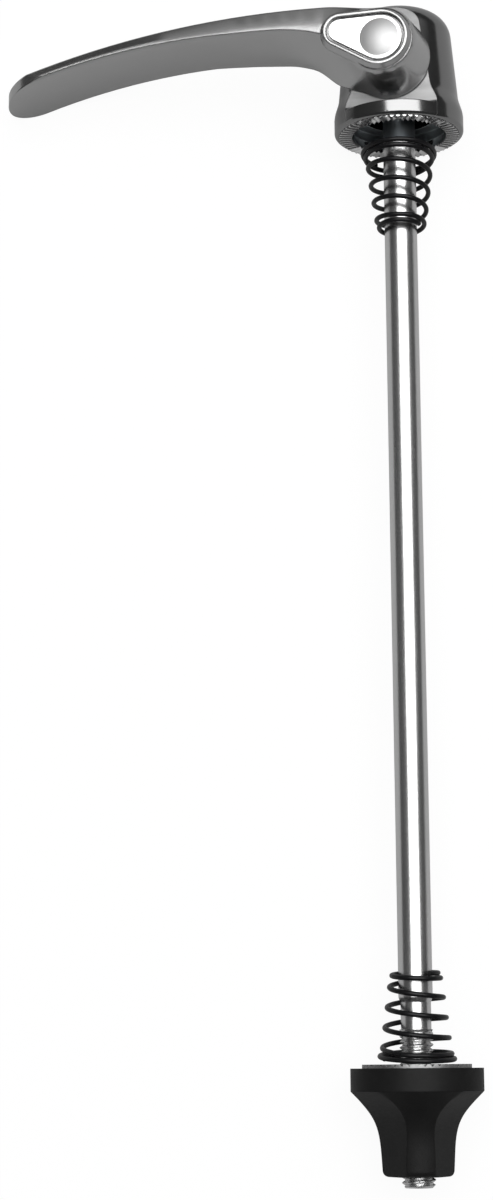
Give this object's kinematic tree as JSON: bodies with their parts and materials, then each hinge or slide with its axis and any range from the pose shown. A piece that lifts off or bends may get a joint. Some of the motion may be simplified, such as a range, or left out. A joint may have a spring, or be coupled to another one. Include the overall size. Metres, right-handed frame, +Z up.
{
  "type": "quick release skewer",
  "caption": "Closed-cam quick release skewer for a bicycle hub: a threaded rod with a curved lever head, a scalloped nut and conical springs.",
  "frame": {"origin": "On the rod's axis, in the plane of the head's serrated clamp face.", "axes": "+Y along the rod from the nut to the head, +Z up from the table it lies on, +X to the right, away from the closed lever."},
  "size_m": [0.0711, 0.1788, 0.027],
  "materials": {
    "polished_aluminium": "polished",
    "cap_aluminium": "polished",
    "cam_steel": "polished",
    "ring_steel": "plated",
    "clip_steel": "bright",
    "rod_steel": "plated and polished",
    "spring_black": "gloss black",
    "nut_black": "matte",
    "insert_steel": "plated"
  },
  "bodies": {
    "head": {"housing": "cap_aluminium", "clamp_ring": "ring_steel"},
    "lever": {"lever": "polished_aluminium", "cam_spindle": "cam_steel", "retaining_ring": "clip_steel"},
    "rod": {"draw_rod": "rod_steel", "upper_spring": "spring_black"},
    "nut_carrier": {"lower_spring": "spring_black"},
    "nut": {"nut_body": "nut_black", "nut_insert": "insert_steel"}
  },
  "joints": [
    {"name": "lever_swing", "type": "hinge", "parent": "head", "child": "lever", "pos_m": [0, 0.01005, 0], "axis": [0.2298, 0, -0.9732], "range_deg": [0, 180]},
    {"name": "rod_draw", "type": "slide", "parent": "head", "child": "rod", "axis": [0, -1, 0], "range_m": [0, 0.002]},
    {"name": "nut_travel", "type": "slide", "parent": "rod", "child": "nut_carrier", "axis": [0, 1, 0], "range_m": [-0.008, 0.004]},
    {"name": "nut_turn", "type": "hinge", "parent": "nut_carrier", "child": "nut", "pos_m": [0, -0.1416, 0], "axis": [0, 1, 0], "range_deg": [-3600, 1800]}
  ],
  "couplings": [
    {"joint": "rod_draw", "follows": "lever_swing", "m_per_rad": 0.00063661},
    {"joint": "nut_travel", "follows": "nut_turn", "m_per_rad": 0.00012732}
  ]
}
